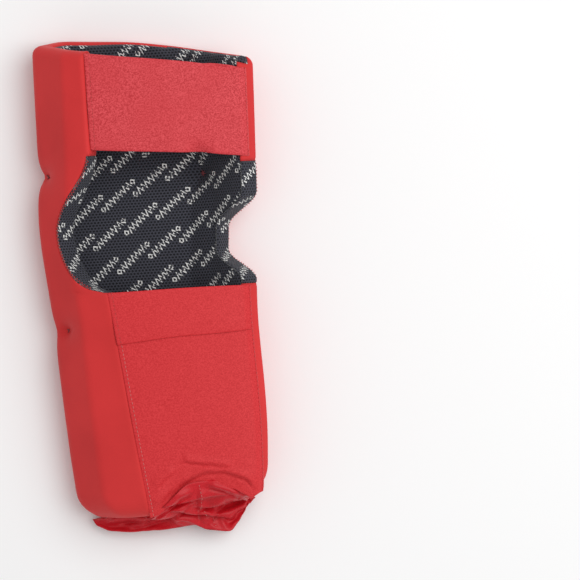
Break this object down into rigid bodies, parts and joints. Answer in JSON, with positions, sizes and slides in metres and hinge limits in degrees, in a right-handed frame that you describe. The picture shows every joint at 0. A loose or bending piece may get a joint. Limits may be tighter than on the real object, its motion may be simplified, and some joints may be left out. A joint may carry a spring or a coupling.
{
  "type": "elbow pad",
  "caption": "Long padded elbow and forearm guard: foam shell with mesh lining, two elastic bands, a window over the elbow crease and a gathered wrist cuff.",
  "frame": {"origin": "centre of the overall box, on the surface that the back of the pad lies on", "axes": "+Y along the arm towards the shoulder end, +Z out of the crease of the elbow, +X across the arm so that the frame is right-handed"},
  "size_m": [0.1544, 0.3458, 0.0595],
  "materials": {
    "cover_knit": "matte brushed knit",
    "band_elastic": "matte ribbed elastic",
    "stretch_knit": "soft sheen stretch knit",
    "mesh_lining": "matte knitted mesh",
    "foam_sheet": "matte foam",
    "seam_thread": "matte thread"
  },
  "bodies": {
    "upper_arm": {"upper_cover": "cover_knit", "upper_lining": "mesh_lining", "upper_left_flap_foam": "foam_sheet", "upper_left_side_foam": "foam_sheet", "upper_back_foam": "foam_sheet", "upper_right_side_foam": "foam_sheet", "top_rim_binding": "cover_knit", "upper_band": "band_elastic", "upper_band_left_thread": "seam_thread", "upper_band_right_thread": "seam_thread", "elbow_cover": "cover_knit", "elbow_lining": "mesh_lining", "elbow_left_side_foam": "foam_sheet", "elbow_back_foam": "foam_sheet", "elbow_right_side_foam": "foam_sheet", "left_edge_facing": "mesh_lining", "right_edge_facing": "mesh_lining", "upper_left_tack": "seam_thread", "upper_right_tack": "seam_thread"},
    "forearm": {"forearm_cover": "cover_knit", "forearm_lining": "mesh_lining", "forearm_left_flap_foam": "foam_sheet", "forearm_left_side_foam": "foam_sheet", "forearm_back_foam": "foam_sheet", "forearm_right_side_foam": "foam_sheet", "bottom_rim_binding": "cover_knit", "lower_band": "band_elastic", "lower_band_left_thread": "seam_thread", "lower_band_right_thread": "seam_thread", "stretch_panel": "stretch_knit", "stretch_panel_left_thread": "seam_thread", "stretch_panel_right_thread": "seam_thread", "wrist_cuff": "stretch_knit", "cuff_hem": "band_elastic", "lower_left_tack": "seam_thread", "lower_right_tack": "seam_thread"}
  },
  "joints": [
    {"name": "elbow_flex", "type": "hinge", "parent": "upper_arm", "child": "forearm", "pos_m": [-0.00081, 0.03188, 0.022], "axis": [-1, 0, 0], "range_deg": [0, 90], "stiffness_Nm_per_rad": 0.2, "deforming": ["elbow_cover", "elbow_lining", "elbow_left_side_foam", "elbow_back_foam", "elbow_right_side_foam", "left_edge_facing", "right_edge_facing"]}
  ]
}
